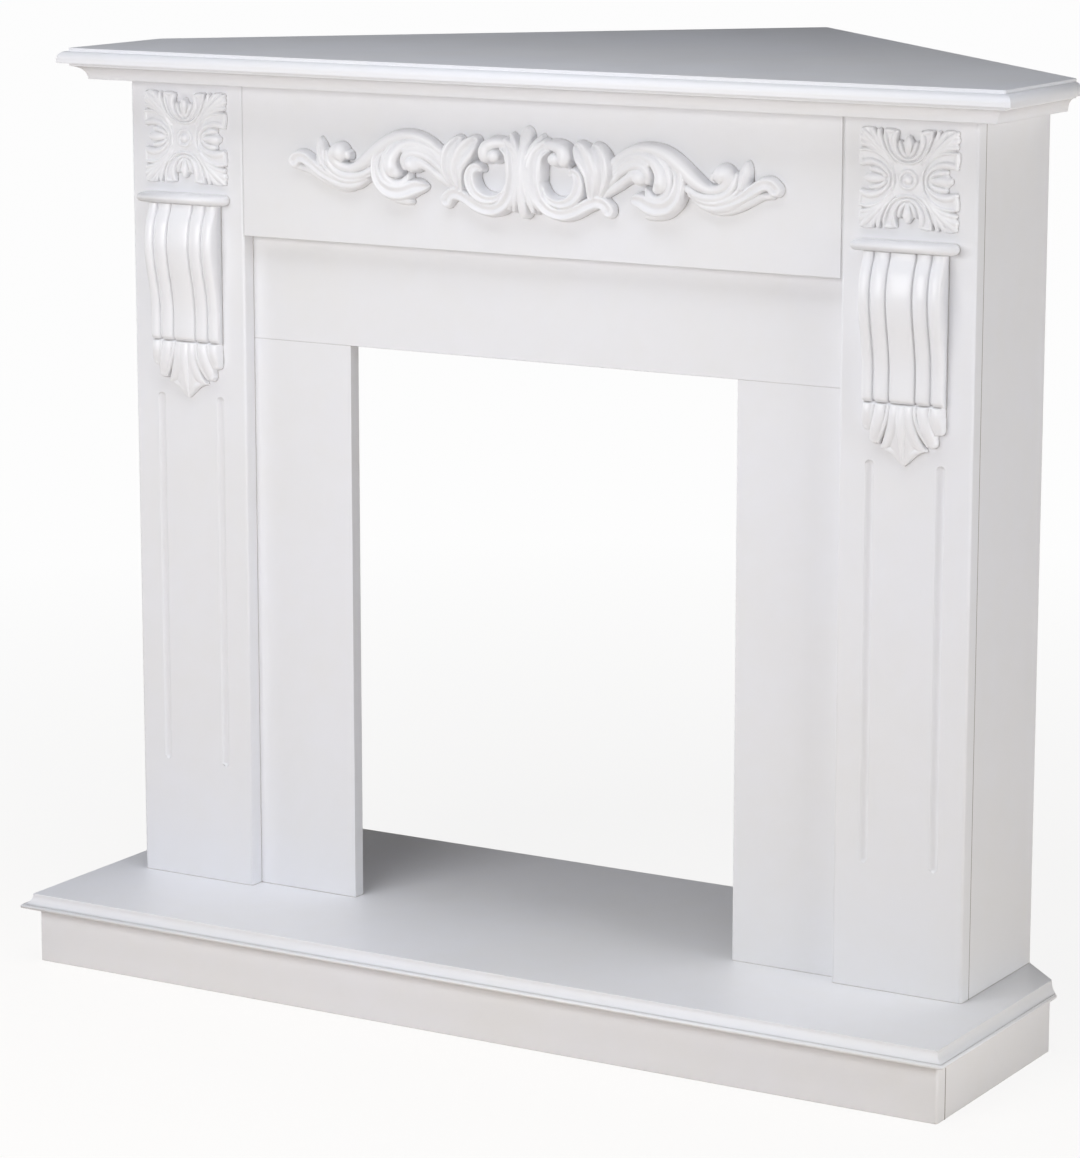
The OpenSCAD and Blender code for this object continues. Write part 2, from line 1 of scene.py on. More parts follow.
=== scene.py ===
"""Looks for the white corner fireplace surround.

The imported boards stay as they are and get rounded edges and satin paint. The moulded
ornaments (frieze carving, rosettes and corbels) are carved here as relief surfaces and
replace their plain solids. Lengths in the tables are millimetres, everything else metres.
"""
import json
import math

import bpy
import numpy as np
from mathutils import Euler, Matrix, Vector


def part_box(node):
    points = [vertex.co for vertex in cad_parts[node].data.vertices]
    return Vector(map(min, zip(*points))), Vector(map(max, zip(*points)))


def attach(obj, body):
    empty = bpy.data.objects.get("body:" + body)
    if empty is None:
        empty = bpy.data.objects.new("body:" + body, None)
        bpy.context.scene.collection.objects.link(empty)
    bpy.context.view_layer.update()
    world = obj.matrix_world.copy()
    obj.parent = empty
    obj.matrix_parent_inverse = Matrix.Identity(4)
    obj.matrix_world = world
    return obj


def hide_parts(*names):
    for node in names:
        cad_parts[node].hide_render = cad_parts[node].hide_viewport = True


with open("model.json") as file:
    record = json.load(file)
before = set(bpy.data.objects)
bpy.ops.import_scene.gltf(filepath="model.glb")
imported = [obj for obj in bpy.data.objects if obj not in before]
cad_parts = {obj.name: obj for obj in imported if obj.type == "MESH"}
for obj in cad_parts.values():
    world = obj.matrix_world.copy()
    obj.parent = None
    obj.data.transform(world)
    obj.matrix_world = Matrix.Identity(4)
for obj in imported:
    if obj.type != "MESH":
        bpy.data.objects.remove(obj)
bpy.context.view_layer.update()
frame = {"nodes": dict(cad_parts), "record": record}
nodes = frame["nodes"]

MM = 0.001

# Camera at the photograph's viewing angle
CAMERA_PLACE = (2.1735, -3.8971, 1.3176)
CAMERA_TURN = (78.6, 0.0, 30.7)
CAMERA_LENS = 128.1

# ---------- materials ----------

# Painted shade in joint lines and inside corners, from an occlusion mask: how far it reaches, the
# rays that look for them, and the openness at which it is full and at which it ends
CREASE_REACH = 2.0 * MM
CREASE_RAYS = 6
CREASE_RANGE = (0.3, 0.8)
# Heights of the paint's orange peel and of its slow waves
PEEL_HEIGHT, WAVE_HEIGHT = 0.3 * MM, 0.4 * MM
GRAIN_HEIGHT = 0.4 * MM


class Shader:
    """A material's node tree with short calls for making and joining nodes."""

    def __init__(self, name):
        self.material = bpy.data.materials.new(name)
        self.material.use_nodes = True
        self.tree = self.material.node_tree
        self.bsdf = self.tree.nodes["Principled BSDF"]

    def node(self, kind, inputs=None, **settings):
        made = self.tree.nodes.new(kind)
        for key, value in settings.items():
            setattr(made, key, value)
        for key, value in (inputs or {}).items():
            self.put(made.inputs[key], value)
        return made

    def put(self, socket, value):
        if isinstance(value, bpy.types.NodeSocket):
            self.tree.links.new(value, socket)
        else:
            socket.default_value = value

    def place(self):
        return self.node("ShaderNodeTexCoord").outputs["Object"]

    def noise(self, scale, detail=3.0, rough=0.55, at=None):
        made = self.node("ShaderNodeTexNoise", {
            "Vector": at or self.place(), "Scale": scale, "Detail": detail, "Roughness": rough})
        return made.outputs["Fac"]

    def spread(self, value, low, high, out_low, out_high):
        made = self.node("ShaderNodeMapRange", {
            "Value": value, "From Min": low, "From Max": high,
            "To Min": out_low, "To Max": out_high})
        return made.outputs["Result"]

    def blend(self, amount, a, b):
        made = self.node("ShaderNodeMix", data_type="RGBA")
        self.put(made.inputs[0], amount)
        self.put(made.inputs[6], a)
        self.put(made.inputs[7], b)
        return made.outputs[2]

    def bump(self, height, strength, distance, below=None):
        made = self.node("ShaderNodeBump", {
            "Height": height, "Strength": strength, "Distance": distance})
        if below is not None:
            self.put(made.inputs["Normal"], below)
        return made.outputs["Normal"]

    def crease(self, reach):
        """Painted-shade mask: 0 in a joint line or an inside corner, 1 on open faces a reach away.
        """
        open_sky = self.node("ShaderNodeAmbientOcclusion", {"Distance": reach},
                             samples=CREASE_RAYS)
        return self.spread(open_sky.outputs["AO"], *CREASE_RANGE, 0, 1)

    def finish(self, **inputs):
        for key, value in inputs.items():
            self.put(self.bsdf.inputs[key.replace("_", " ")], value)
        return self.material


def linear(red, green, blue):
    """An sRGB colour of 0 to 255 as linear values."""
    def one(c):
        c /= 255
        return c / 12.92 if c <= 0.04045 else ((c + 0.055) / 1.055) ** 2.4
    return (one(red), one(green), one(blue), 1.0)


def satin_paint(name, light, warm, crease_shade, rough, texture):
    """Satin paint: broad uneven tone, fine orange peel, and painted shade darkening the joint lines
    and inside corners.
    """
    s = Shader(name)
    fine_share = 0.35
    tone = s.spread(s.noise(2.4, 4), 0.35, 0.65, 0, 1)
    fine_tone = s.spread(s.noise(38, 5), 0.3, 0.7, 0, fine_share)
    mixed = s.node("ShaderNodeMath", {0: tone, 1: fine_tone}, operation="ADD").outputs[0]
    field = s.blend(s.spread(mixed, 0, 1 + fine_share, 0, 1), light, warm)
    # Painted shade: joint lines and inside corners are darkened towards the crease colour by an
    # occlusion mask.
    colour = s.blend(s.crease(CREASE_REACH), crease_shade, field)
    gloss = s.spread(s.noise(14, 4), 0.3, 0.7, *rough)
    peel = s.bump(s.noise(900, 2), texture, PEEL_HEIGHT)
    waves = s.bump(s.noise(45, 2), texture, WAVE_HEIGHT, below=peel)
    return s.finish(Base_Color=colour, Roughness=gloss, Normal=waves)


def bare_wood():
    s = Shader("bare_wood")
    stretched = s.node("ShaderNodeMapping", {"Vector": s.place(), "Scale": (9, 9, 1.2)})
    rings = s.noise(11, 6, 0.65, at=stretched.outputs[0])
    colour = s.blend(s.spread(rings, 0.35, 0.65, 0, 1),
                     linear(206, 170, 122), linear(232, 204, 160))
    return s.finish(Base_Color=colour, Roughness=0.62, Normal=s.bump(rings, 0.3, GRAIN_HEIGHT))


def zinc_steel():
    s = Shader("zinc_steel")
    speckle = s.noise(260, 3)
    colour = s.blend(speckle, linear(176, 178, 176), linear(214, 214, 208))
    rough = s.spread(speckle, 0.3, 0.7, 0.28, 0.45)
    return s.finish(Base_Color=colour, Metallic=1.0, Roughness=rough)


MATERIALS = {
    "painted_board": satin_paint(
        "painted_board", light=linear(231, 232, 237), warm=linear(229, 229, 230),
        crease_shade=linear(206, 203, 200), rough=(0.42, 0.52), texture=0.06),
    "painted_ornament": satin_paint(
        "painted_ornament", light=linear(235, 236, 240), warm=linear(233, 233, 235),
        crease_shade=linear(200, 198, 197), rough=(0.3, 0.38), texture=0.04),
    "bare_wood": bare_wood(),
    "zinc_steel": zinc_steel(),
}
# Painted shadow: a dark paint for the seam strips, standing in for the shade deep in the grooves.
SEAM_SHADOW_PAINT = satin_paint(
    "seam_shadow", light=linear(150, 142, 138), warm=linear(138, 130, 126),
    crease_shade=linear(120, 112, 108), rough=(0.6, 0.7), texture=0.06)
slot_of = {row["node"]: row["material_slot"] for row in frame["record"]["subparts"]}

# ---------- CAD boards ----------

EDGE_ROUND = 0.7 * MM
SHARP_ANGLE = math.radians(40)
FLAT_ANGLE = math.radians(0.6)
WELD_REACH = 0.01 * MM
# Loops of sharp edges up to this wide are the rims of bores
BORE_RIM = 16 * MM


def outline_edges(mesh):
    """Indices of the sharp edges, without the small loops round the bores for dowels and screws."""
    same, corner = {}, []
    for vertex in mesh.vertices:
        key = tuple(round(c / WELD_REACH) for c in vertex.co)
        corner.append(same.setdefault(key, len(same)))
    faces_at, edges_at = {}, {}
    for face in mesh.polygons:
        for k in face.loop_indices:
            edge = mesh.loops[k].edge_index
            pair = tuple(sorted(corner[v] for v in mesh.edges[edge].vertices))
            faces_at.setdefault(pair, []).append(face.normal.copy())
            edges_at.setdefault(pair, []).append(edge)
    sharp = [pair for pair, normals in faces_at.items()
             if len(normals) == 2 and normals[0].angle(normals[1], 0) > SHARP_ANGLE]
    joined = list(range(len(same)))

    def loop_of(v):
        while joined[v] != v:
            joined[v] = joined[joined[v]]
            v = joined[v]
        return v

    for a, b in sharp:
        joined[loop_of(a)] = loop_of(b)
    spot = {corner[v.index]: v.co for v in mesh.vertices}
    reach = {}
    for pair in sharp:
        reach.setdefault(loop_of(pair[0]), []).extend(spot[v] for v in pair)
    wide = {loop for loop, spots in reach.items()
            if max(np.ptp(np.array(spots), axis=0)) > BORE_RIM}
    return [edge for pair in sharp if loop_of(pair[0]) in wide for edge in edges_at[pair]]


def dress_board(name):
    """Paints a CAD node and rounds the sharp edges of its outline, as primer and paint do."""
    obj = nodes[name]
    obj.data.materials.clear()
    obj.data.materials.append(MATERIALS[slot_of[name]])
    weight = obj.data.attributes.new("bevel_weight_edge", "FLOAT", "EDGE")
    for edge in outline_edges(obj.data):
        weight.data[edge].value = 1.0
    weld = obj.modifiers.new("weld", "WELD")
    weld.merge_threshold = WELD_REACH
    flat = obj.modifiers.new("flat_faces", "DECIMATE")
    flat.decimate_type = "DISSOLVE"
    flat.angle_limit = FLAT_ANGLE
    bevel = obj.modifiers.new("edges", "BEVEL")
    bevel.width = EDGE_ROUND
    bevel.segments = 2
    bevel.limit_method = "WEIGHT"
    bevel.use_clamp_overlap = False
    bevel.harden_normals = True


for name in nodes:
    dress_board(name)

# ---------- filler, and dark strips of painted seam shadow ---

FILLER_SUNK, FILLER_DEPTH, FILLER_BITE = 1.4 * MM, 5 * MM, 0.3 * MM
SEAM_DEPTH = 0.8 * MM
# Half width of each seam line, and how far it lies under the board's face
PILASTER_SEAM = (0.65 * MM, 0.03 * MM)
PLINTH_SEAM = (0.8 * MM, -0.04 * MM)


def strip(name, low, high, material):
    """A closed box piece from one corner to the other."""
    faces = [(0, 2, 3, 1), (4, 5, 7, 6), (0, 1, 5, 4), (2, 6, 7, 3), (0, 4, 6, 2), (1, 3, 7, 5)]
    corners = [(x, y, z) for z in (low[2], high[2]) for y in (low[1], high[1])
               for x in (low[0], high[0])]
    mesh = bpy.data.meshes.new(name)
    mesh.from_pydata(corners, [], faces)
    mesh.materials.append(material)
    obj = bpy.data.objects.new(name, mesh)
    bpy.context.scene.collection.objects.link(obj)
    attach(obj, "root")


def fill_joint(side):
    """A sunk bead of filler in the gap between the frieze's end and the pilaster."""
    frieze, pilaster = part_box("frieze"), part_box("pilaster_" + side)
    right = side == "right"
    gap = (frieze[1].x, pilaster[0].x) if right else (pilaster[1].x, frieze[0].x)
    strip("filler_" + side,
          (gap[0] - FILLER_BITE, frieze[0].y + FILLER_SUNK, frieze[0].z),
          (gap[1] + FILLER_BITE, frieze[0].y + FILLER_DEPTH, frieze[1].z),
          MATERIALS["painted_board"])


def line_seam(front, back, side, half, sunk):
    """A dark strip in the groove between a front board and the board behind it, as painted shadow
    of the gap.
    """
    front_box, back_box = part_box(front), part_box(back)
    seam_y, face_x = back_box[0].y, back_box[1].x if side == "right" else back_box[0].x
    inward = -1 if side == "right" else 1
    x = sorted((face_x + inward * sunk, face_x + inward * SEAM_DEPTH))
    strip("seam_" + back, (x[0], seam_y - half, front_box[0].z),
          (x[1], seam_y + half, front_box[1].z), SEAM_SHADOW_PAINT)


for side in ("left", "right"):
    fill_joint(side)
    line_seam("pilaster_" + side, "side_panel_" + side, side, *PILASTER_SEAM)
    line_seam("plinth_front", "plinth_side_" + side, side, *PLINTH_SEAM)

# ---------- relief carving ----------


def smooth_path(stations, spacing):
    """Catmull-Rom points through stations [x, z, half width, height], a spacing apart."""
    p = np.array(stations, float)
    p = np.vstack([2 * p[0] - p[1], p, 2 * p[-1] - p[-2]])
    runs = []
    for a, b, c, d in zip(p, p[1:], p[2:], p[3:]):
        steps = max(1, int(np.ceil(np.hypot(*(c - b)[:2]) / spacing)))
        t = (np.arange(steps) / steps)[:, None]
        runs.append(0.5 * (2 * b + (c - a) * t + (2 * a - 5 * b + 4 * c - d) * t ** 2
                           + (3 * b - a - 3 * c + d) * t ** 3))
    runs.append(p[-2:-1])
    return np.vstack(runs)


# Height of the empty grid, below the plane that the relief is cut on
DEEP = -4.0
# Where the rim of a scooped band lies, as a share of its half width
RIM_AT = 0.68
# How far a bed and a corbel's leaves fall towards their edges, as a share of the half width
BED_CROWN, LEAF_CROWN = 0.05, 0.55


class Relief:
    """Heights in millimetres over a grid of x and z, carved with strokes and cut at zero."""

    def __init__(self, half_x, low_z, high_z, step, wall_slope=5.0):
        """wall_slope is the fall of a ridge's flanks in millimetres for each millimetre."""
        self.step = step
        self.wall_slope = wall_slope
        self.x = np.arange(-half_x, half_x + step / 2, step)
        self.z = np.arange(low_z, high_z + step / 2, step)
        self.height = np.full((len(self.z), len(self.x)), DEEP)

    def ridge(self, stations, crown=0.85, scoop=0.0):
        """A ridge along a path. Its top falls by crown x half width to the edge on each side,
        and sinks by scoop x half width along the middle, which leaves a rim near each edge."""
        path = smooth_path(stations, 0.7 * self.step)
        path = path[path[:, 2] > 0.2]
        reach = (path[:, 2] + (path[:, 3] - DEEP) / self.wall_slope).max()
        i0, i1 = np.searchsorted(self.x, [path[:, 0].min() - reach, path[:, 0].max() + reach])
        j0, j1 = np.searchsorted(self.z, [path[:, 1].min() - reach, path[:, 1].max() + reach])
        xs, zs = self.x[i0:i1][None, :], self.z[j0:j1][:, None]
        shape = (j1 - j0, i1 - i0)
        across, half, top = np.full(shape, np.inf), np.ones(shape), np.zeros(shape)
        for x, z, station_half, station_top in path:
            u = np.hypot(xs - x, zs - z) / station_half
            nearer = u < across
            across[nearer] = u[nearer]
            half[nearer] = station_half
            top[nearer] = station_top
        rim = RIM_AT if scoop else 0.0
        outer = ((across.clip(0, 1) - rim) / (1 - rim)).clip(0, 1)
        surface = top - np.minimum(crown * half, top) * (1 - rim) * (1 - np.sqrt(1 - outer ** 2))
        if scoop:
            surface -= scoop * half * np.cos(math.pi / 2 * (across / rim).clip(0, 1)) ** 2
        surface -= (across - 1).clip(0) * half * self.wall_slope
        part = (slice(j0, j1), slice(i0, i1))
        self.height[part] = np.maximum(self.height[part], surface)

    def mirror_x(self):
        self.height = np.maximum(self.height, self.height[:, ::-1])

    def mirror_z(self):
        self.height = np.maximum(self.height, self.height[::-1])

    def soften(self, amount):
        """Blurs the heights a little, as paint fills the creases."""
        reach = int(np.ceil(3 * amount / self.step))
        kernel = np.exp(-0.5 * (np.arange(-reach, reach + 1) * self.step / amount) ** 2)
        kernel /= kernel.sum()
        for axis in (0, 1):
            self.height = np.apply_along_axis(
                lambda row: np.convolve(np.pad(row, reach, mode="edge"), kernel, "valid"),
                axis, self.height)

    def shell(self):
        """Points [x, z, height] and faces of the closed solid over the plane of height zero.
        Its flat back has one long face for each run of whole cells in a row."""
        h = self.height
        inside = h > 0
        points, faces, index, cuts, behind = [], [], {}, {}, {}

        def corner(j, i):
            if (j, i) not in index:
                index[j, i] = len(points)
                points.append((self.x[i], self.z[j], h[j, i]))
            return index[j, i]

        def cut(j0, i0, j1, i1):
            key = min((j0, i0), (j1, i1)) + max((j0, i0), (j1, i1))
            if key not in cuts:
                t = h[j0, i0] / (h[j0, i0] - h[j1, i1])
                cuts[key] = len(points)
                points.append((self.x[i0] + t * (self.x[i1] - self.x[i0]),
                               self.z[j0] + t * (self.z[j1] - self.z[j0]), 0.0))
            return cuts[key]

        def back(k):
            if points[k][2] == 0.0:
                return k
            if k not in behind:
                behind[k] = len(points)
                points.append((points[k][0], points[k][1], 0.0))
            return behind[k]

        some = inside[:-1, :-1] | inside[1:, :-1] | inside[:-1, 1:] | inside[1:, 1:]
        whole = inside[:-1, :-1] & inside[1:, :-1] & inside[:-1, 1:] & inside[1:, 1:]
        rim = np.pad(whole, 1)
        rim = ~(rim[:-1, :-1] & rim[1:, :-1] & rim[:-1, 1:] & rim[1:, 1:])
        for j, i in zip(*np.nonzero(some)):
            ring = [(j, i), (j, i + 1), (j + 1, i + 1), (j + 1, i)]
            face = []
            for a, b in zip(ring, ring[1:] + ring[:1]):
                if inside[a]:
                    face.append(corner(*a))
                if inside[a] != inside[b]:
                    face.append(cut(*(a + b)) if inside[a] else cut(*(b + a)))
            faces.append(face)
            if not whole[j, i]:
                faces.append([back(k) for k in reversed(face)])
        for j, row in enumerate(whole):
            ends = np.flatnonzero(np.diff(np.pad(row, 1).astype(int)))
            for start, stop in zip(ends[::2], ends[1::2]):
                below = [back(index[j, i]) for i in range(start, stop + 1) if rim[j, i]]
                above = [back(index[j + 1, i]) for i in range(start, stop + 1) if rim[j + 1, i]]
                faces.append(above + below[::-1])
        return points, faces


SWEEP_STEP = 1.2


def swept_shell(section, profile):
    """Points and faces of a section [x, drop] swept up a profile [z, height] and closed at the
    back. A drop of None lies on the back."""
    curve = smooth_path([(z, 0, 0, height) for z, height in profile], SWEEP_STEP)
    rows = [[(x, z, 0.0 if drop is None else height - drop) for x, drop in section]
            for z, height in zip(curve[:, 0], curve[:, 3])]
    points = [point for row in rows for point in row]
    count, last = len(section), len(rows) - 1
    faces = [[j * count + i, j * count + i + 1, (j + 1) * count + i + 1, (j + 1) * count + i]
             for j in range(last) for i in range(count - 1)]
    faces += [[(j + 1) * count, (j + 2) * count - 1, (j + 1) * count - 1, j * count]
              for j in range(last)]
    faces += [list(range(count))[::-1], [last * count + i for i in range(count)]]
    return points, faces


def make_mesh(name, shells, middle, depth_y):
    """One mesh of the shells, their backs on the plane y = depth_y and facing -y."""
    points, faces = [], []
    for shell_points, shell_faces in shells:
        first = len(points)
        points += shell_points
        faces += [[first + k for k in face] for face in shell_faces]
    co = np.array(points)
    world = np.stack([middle[0] + co[:, 0] * MM, depth_y - co[:, 2] * MM,
                      middle[1] + co[:, 1] * MM], 1)
    mesh = bpy.data.meshes.new(name)
    mesh.from_pydata(world.tolist(), [], faces)
    mesh.validate()
    mesh.shade_smooth()
    obj = bpy.data.objects.new(name, mesh)
    bpy.context.scene.collection.objects.link(obj)
    return obj


def place_ornament(obj, node):
    obj.data.materials.append(MATERIALS["painted_ornament"])
    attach(obj, "root")
    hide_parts(node)


# Frieze carving, right half: [x, z, half width, height] from the carving's middle. The step
# divides the width evenly, so that both halves fall on the same grid.
CARVING_HALF = 297
CARVING_LOW, CARVING_HIGH = -50, 52
CARVING_STEP, CARVING_SOFT = 0.66, 0.4
CARVING_SCOOP = 0.3
CARVING_SCOOPED = [
    # ring: stem, round the bottom and out into the tail
    [[27, 28.5, 4.5, 11], [18.4, 24.4, 6.3, 13.5], [13.6, 14.6, 7.2, 15.5], [12, 0, 7.4, 16.5],
     [13.6, -14, 7.4, 16.5], [17.8, -25.6, 7, 16], [26, -35.4, 6.2, 15], [37, -40.4, 5.8, 14],
     [49, -40.5, 6, 13.5], [61, -36.5, 6, 13], [72, -30.5, 6, 12], [83, -26.5, 6.5, 11],
     [91, -28, 6.6, 10], [96, -33, 7.4, 9.5], [97, -35, 7, 9]],
    # the crescent inside the ring with its curled tip
    [[20.4, -12, 1.8, 12], [25, -22, 2.8, 13.5], [33.4, -28.4, 3.6, 14.5], [44.6, -30, 4.6, 15.2],
     [55.4, -26.4, 5.6, 15.5], [62.6, -18.4, 6.2, 15.5], [65.4, -8.6, 6, 15.5],
     [63.2, -0.6, 5.2, 15], [58, 2.4, 4.2, 13.5], [54, 0.6, 2.6, 11]],
    # two leaves beside the ring
    [[78, -22, 3.6, 12], [80, -10, 6, 15.5], [80, 1, 8, 17], [76.6, 10, 9.6, 17],
     [71.4, 18, 10.4, 16], [65.4, 25, 8.2, 13], [61, 30, 4, 9]],
    [[85, -22, 3, 9], [90, -11, 5.5, 13.5], [92.6, -1, 7, 15.5], [92.6, 8.6, 8, 16],
     [89.6, 17.4, 8.8, 15], [85, 24.6, 7.6, 12], [81, 30, 3.6, 8]],
    # outermost wrap that ends in a leaf
    [[175, 16, 4, 11], [180.5, 5, 5, 14], [181, -6, 5.5, 15.5], [177, -18, 6.5, 16],
     [168, -26, 7.5, 15.5], [157, -28.5, 8, 15], [146, -27, 8, 13.5], [135, -22.5, 7.5, 11],
     [127, -22, 4.6, 8], [121.5, -22, 1.2, 4]],
    # end leaf of the third scroll
    [[212, -21.4, 1.8, 10.2], [224, -22.4, 3, 11], [238, -19, 3.8, 11.6], [252, -12.6, 4.6, 12],
     [264, -4.6, 5.4, 12], [274, 1.4, 6, 11.5], [282, 1.6, 6.6, 10.5], [287.4, -3, 7, 9.5]],
]
CARVING = [
    # ring: over the top and round the volute
    [[21, 26, 4, 11], [29, 28.4, 5, 13.5], [38.4, 27.8, 5.6, 16], [45.6, 24, 6.8, 16.8],
     [47.4, 19, 8, 17.2], [47, 15.6, 8.2, 17.2]],
    [[35.6, 15, 6.6, 18], [36.4, 15, 6.6, 18]],
    # thin rims along the ring, outside and inside
    [[24, 32, 1.4, 11.6], [12.4, 27, 1.5, 13], [7.2, 14.6, 1.5, 15], [5.4, 0, 1.5, 17]],
    [[28.6, 22.8, 1.3, 13], [22, 16.4, 1.4, 15], [19.8, 5, 1.4, 15.8], [19.6, -7, 1.3, 15]],
    # bands that rise from behind the leaves: the eye, then the arches round it
    [[88, -21, 4, 7.6], [98, -15, 4, 9], [108, -9, 4.4, 9.6], [118, -2, 4.8, 10.6],
     [127, 2.6, 6, 13.4], [133.4, 2.2, 7.6, 17.6], [136.4, 1.6, 8.2, 18.6]],
    [[90, -15, 3, 7.6], [100, -6, 3, 9], [111, 4, 3.6, 11], [121, 10.6, 4, 12.4],
     [132, 13.6, 4.4, 14.4], [141, 12, 4.8, 15.4], [146, 6, 5, 15.4], [145.4, -1, 4.4, 13.8]],
    [[94, -3, 2.6, 7.6], [104, 5, 2.6, 9], [114, 12.6, 2.8, 11], [125, 17.8, 3, 12.6],
     [137, 18.8, 3.2, 14], [146, 15.6, 3.4, 15]],
    [[95, 3, 2.8, 7.6], [106, 11, 2.8, 9], [116, 18, 3.2, 10.6], [127, 22.6, 3.6, 12.4],
     [138, 23.4, 4, 13.9], [149, 20, 5, 15.4], [157, 12.5, 6.4, 17], [161.5, 4, 7.4, 18.5],
     [161, -4, 7.8, 19], [156.6, -8.5, 5.4, 16]],
    [[152, 23.6, 2.8, 12], [163, 17.4, 3.4, 13], [169.8, 8, 3.8, 14.4], [171.4, -3, 4, 15],
     [168.4, -13.5, 4.6, 15], [160, -19.5, 4.8, 14.4], [151, -20, 4.8, 13.4], [145, -15, 4, 11.8],
     [142.5, -10.6, 2.4, 10]],
    # thin lip under the outermost wrap
    [[177, -26, 3, 9], [167, -34, 3.5, 9.5], [154, -37.5, 3.5, 9.5], [142, -38.5, 2.6, 8]],
    # arch over the eye, which runs on as the top of the third scroll
    [[88, 4, 4, 7.6], [97, 11, 4, 8.6], [108, 18, 5, 9.5], [118, 24.6, 5, 10.4],
     [130, 29.4, 5, 11.6], [143, 31, 5, 12.6], [156, 29, 6, 13], [168, 24, 6.8, 13.4],
     [179, 16, 7.6, 13.8], [189, 7.6, 8, 13.4], [199, 0, 7.4, 13], [208, -5, 5.4, 12.5],
     [216, -7, 4.6, 11.5], [226, -5.4, 4.8, 11.8], [233.4, -0.6, 6, 12.8], [235, 5, 7.8, 14.4],
     [232.4, 8.4, 9.6, 15.8], [229.4, 9, 10.2, 16.4]],
    [[218.8, 6, 3.8, 11.8], [219.2, 7.4, 3.8, 11.8]],
    # lower bands of the third scroll
    [[187, -6, 3.6, 10.6], [200, -13, 3.8, 12], [215, -15.4, 3.8, 12.4], [228, -13.4, 4, 12.4],
     [237, -8, 4, 12.4], [242.8, 0, 4, 12.4], [245.4, 9, 3, 10.4]],
    [[191, -13, 2, 9.4], [204, -18.4, 2.2, 11.2], [219, -20, 2.4, 12], [231, -17.4, 2.4, 12],
     [241, -12, 2.2, 11.8], [247.4, -6, 1.8, 11.8], [251, 0, 1.5, 11.8]],
    [[196, -18, 2.6, 8.6], [208, -24, 3.6, 10.4], [222, -25.6, 4, 11], [236, -23, 4, 11],
     [248, -17, 3.6, 10.6], [258, -10.6, 3, 10]],
    [[214, -30, 0.8, 5.4], [225, -30.4, 1.8, 6.4], [237, -27.6, 2.8, 7], [249, -22.5, 3.6, 7.6],
     [261, -16.5, 3.6, 7.6], [272, -11, 3.4, 7.4], [283, -9.5, 3.6, 6.5]],
    # spike of the leaf behind the volute
    [[250, -8, 8.2, 10.4], [251.6, 1, 8.6, 10.4], [253.2, 10, 7.2, 10], [254.6, 17, 5, 8.8],
     [255.4, 21.4, 2.6, 6.6]],
    [[251.4, -4, 1.5, 12.2], [252.8, 8, 1.5, 11.8], [253.8, 18, 1.2, 8.6]],
    # palmette: a fan of three up, three down, on a narrow waist
    [[0, 44, 2.2, 7.4], [0, 39.6, 6.6, 9.4], [0, 33, 7.8, 12.4], [0, 23, 5, 16.8],
     [0, 8, 3.2, 20.6], [0, -8, 3, 21.4], [0, -22, 4.2, 21], [0, -33, 5.2, 19.6],
     [0, -40, 4.6, 17.6], [0, -45, 2.2, 15.4]],
    [[1.8, -6, 2, 20.4], [2.6, 2, 2, 20], [4, 14, 2.2, 17.4], [9, 25, 2.8, 14.6],
     [14.6, 32.4, 3.2, 11.4], [18, 36.8, 2.4, 8.4]],
    [[4.4, -6, 2, 18.8], [5, 2, 2, 18], [7, 14, 2, 16], [12.4, 22.6, 2.4, 14.4],
     [19.4, 28.8, 3, 12.6], [23.6, 32, 2.8, 11]],
    [[2.2, 4, 2, 20.2], [2.8, -6, 2, 20.2], [5.4, -20, 2.4, 19], [8.6, -31, 3, 17.6],
     [11, -39, 2.4, 15]],
    [[4.6, 4, 2, 18.6], [5.2, -8, 2, 18.6], [9.4, -21, 2.2, 17.4], [14, -31, 2.8, 16],
     [18, -38, 2.2, 13]],
]


def carve_frieze():
    low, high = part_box("frieze_carving")
    relief = Relief(CARVING_HALF, CARVING_LOW, CARVING_HIGH, CARVING_STEP)
    for stations in CARVING_SCOOPED:
        relief.ridge(stations, scoop=CARVING_SCOOP)
    for stations in CARVING:
        relief.ridge(stations)
    relief.mirror_x()
    relief.soften(CARVING_SOFT)
    middle = ((low.x + high.x) / 2, (low.z + high.z) / 2)
    place_ornament(make_mesh("carved_scrolls", [relief.shell()], middle, high.y), "frieze_carving")


carve_frieze()

# Rosettes and corbels share a finer grid
ORNAMENT_STEP, ORNAMENT_SOFT = 0.5, 0.35

# Rosette, one quarter: [x, z, half width, height] from its middle
ROSETTE_HALF_X, ROSETTE_HALF_Z = 56, 52
ROSETTE_BEDS = [
    [[0, 0, 15.4, 3.8], [0.5, 0, 15.4, 3.8]],
    [[9, 9, 6, 4], [16, 15, 6, 4], [24, 22, 7, 4], [33, 31, 8, 3.8], [42, 39, 9, 3.6]],
    # under the flank and crown leaves
    [[19, 0, 3, 3.6], [21, 8, 4, 4], [27, 15, 6, 4.2], [36, 20, 8, 4.2], [45.5, 20.5, 8, 4]],
    [[0, 18.5, 3, 3.6], [8, 20, 4, 4], [14, 25.5, 5.5, 4.2], [19, 33.5, 7.5, 4.2],
     [20.2, 40.5, 7.6, 4]],
    [[24, 0, 4, 3.6], [33, 0, 8, 3.6], [37, 0, 8, 3.4]],
    [[0, 24, 4, 3.6], [0, 30, 7, 3.6], [0, 33, 7, 3.4]],
    # corner leaf
    [[34, 32, 8, 4.2], [42, 39.5, 9, 4.2], [45, 42, 7.6, 4]],
]
